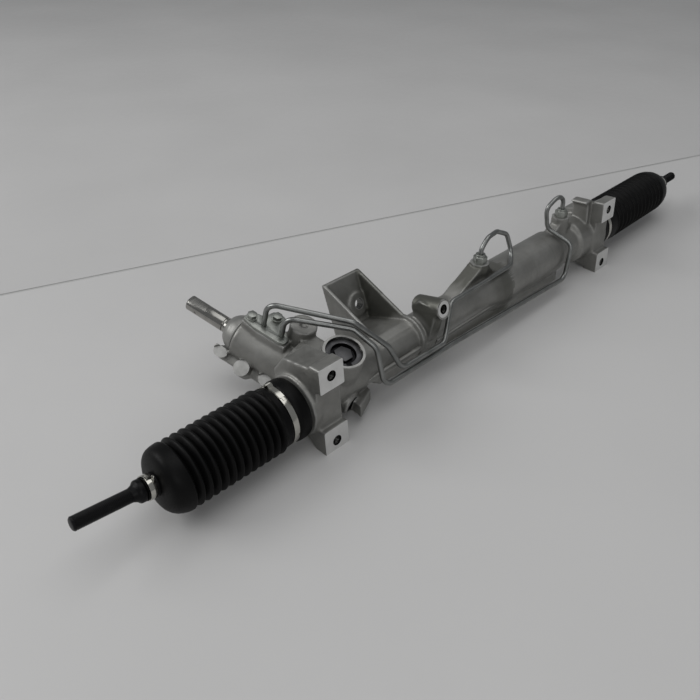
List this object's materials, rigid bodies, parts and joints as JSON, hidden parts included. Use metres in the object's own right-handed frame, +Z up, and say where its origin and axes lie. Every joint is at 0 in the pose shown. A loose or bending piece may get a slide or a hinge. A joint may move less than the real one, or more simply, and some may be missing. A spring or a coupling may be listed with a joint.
{
  "type": "power steering rack",
  "caption": "Hydraulic power steering rack with cast housing, valve tower, bellows boots, tie rods and two steel fluid tubes.",
  "frame": {"origin": "centre of the four fixing holes, on the plane of the machined mounting pads", "axes": "+X along the rack towards the far tie rod, -Y out of the mounting pads, +Z up"},
  "size_m": [1.1649, 0.2376, 0.1408],
  "materials": {
    "cast_aluminium": "as cast, matt, with machined faces",
    "plain_aluminium": "turned",
    "ground_steel": "ground",
    "blackened_steel": "black satin",
    "dark_plug": "dark oxide",
    "black_rubber": "matt",
    "white_polymer": "smooth",
    "plated_tube": "zinc plated, satin",
    "zinc_plate": "zinc plated",
    "stainless_band": "rolled strip",
    "spring_steel": "oiled"
  },
  "bodies": {
    "housing": {"clamp_screws": "zinc_plate", "far_boot": "black_rubber", "far_boot_band": "stainless_band", "far_guide_bush": "plain_aluminium", "far_retaining_ring": "spring_steel", "far_seal": "black_rubber", "inner_seal": "black_rubber", "lower_pinion_bearing": "ground_steel", "near_boot": "black_rubber", "near_boot_band": "stainless_band", "near_rack_bush": "white_polymer", "pinion_end_plug": "dark_plug", "rack_housing": "cast_aluminium", "shaft_bearing": "ground_steel", "shaft_seal": "black_rubber", "tube_clamp_plate": "zinc_plate", "tube_far_port": "plated_tube", "tube_near_port": "plated_tube", "tube_nuts": "zinc_plate", "tube_seal_rings": "black_rubber", "upper_pinion_bearing": "ground_steel", "valve_cap": "cast_aluminium", "yoke_adjuster": "dark_plug", "yoke_liner": "white_polymer", "yoke_plunger": "plain_aluminium", "yoke_seal_ring": "black_rubber", "yoke_spring": "spring_steel"},
    "rack": {"rack_bar": "ground_steel", "piston": "plain_aluminium", "piston_ring": "white_polymer", "piston_snap_ring": "spring_steel", "near_ball_socket": "ground_steel", "far_ball_socket": "ground_steel", "near_socket_liner": "white_polymer", "far_socket_liner": "white_polymer"},
    "pinion": {"pinion": "ground_steel", "valve_sleeve": "ground_steel", "sleeve_rings": "white_polymer"},
    "input_shaft": {"input_shaft": "ground_steel", "torsion_bar": "ground_steel", "drive_pin": "ground_steel"},
    "near_tie_rod": {"near_tie_rod": "blackened_steel", "near_boot_clip": "stainless_band"},
    "far_tie_rod": {"far_tie_rod": "blackened_steel", "far_boot_clip": "stainless_band"}
  },
  "joints": [
    {"name": "rack_slide", "type": "slide", "parent": "housing", "child": "rack", "axis": [1, 0, 0], "range_m": [-0.096, 0.054], "deforming": ["near_boot", "far_boot"]},
    {"name": "pinion_spin", "type": "hinge", "parent": "housing", "child": "pinion", "pos_m": [-0.2465, 0.04979, -0.01983], "axis": [-0.2571, 0.896, 0.362], "range_deg": [-690, 390]},
    {"name": "valve_twist", "type": "hinge", "parent": "pinion", "child": "input_shaft", "pos_m": [-0.2465, 0.04979, -0.01983], "axis": [-0.2571, 0.896, 0.362], "range_deg": [-4, 4], "stiffness_Nm_per_rad": 80},
    {"name": "near_rod_swing", "type": "hinge", "parent": "rack", "child": "near_tie_rod", "pos_m": [-0.425, 0.0436, -0.0045], "axis": [0, 1, 0], "range_deg": [-28.6, 15.4]},
    {"name": "far_rod_swing", "type": "hinge", "parent": "rack", "child": "far_tie_rod", "pos_m": [0.467, 0.0436, -0.0045], "axis": [0, 1, 0], "range_deg": [-22, 22]}
  ],
  "couplings": [
    {"joint": "pinion_spin", "follows": "rack_slide", "rad_per_m": 125}
  ]
}
